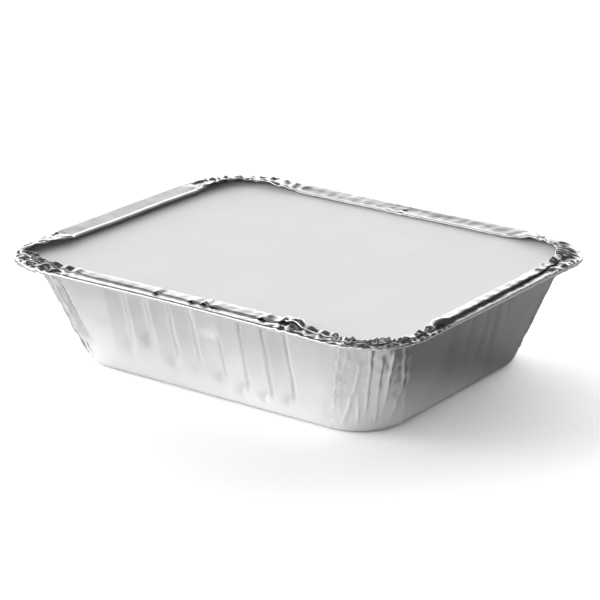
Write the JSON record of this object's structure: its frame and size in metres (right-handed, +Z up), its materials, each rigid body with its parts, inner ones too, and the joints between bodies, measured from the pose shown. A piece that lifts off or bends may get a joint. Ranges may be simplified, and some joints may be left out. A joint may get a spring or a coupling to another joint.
{
  "type": "foil takeaway container with card lid",
  "caption": "Shallow rectangular aluminium foil food tray with fluted sides, closed by a plain card lid under its folded rim.",
  "frame": {"origin": "on the table, under the middle of the tray", "axes": "+X along the tray's length, +Y along its width, +Z up through the lid"},
  "size_m": [0.145, 0.12, 0.0357],
  "materials": {
    "foil": "satin",
    "card": "matte"
  },
  "bodies": {
    "root": {"foil_tray": "foil", "card_lid": "card"}
  },
  "joints": []
}
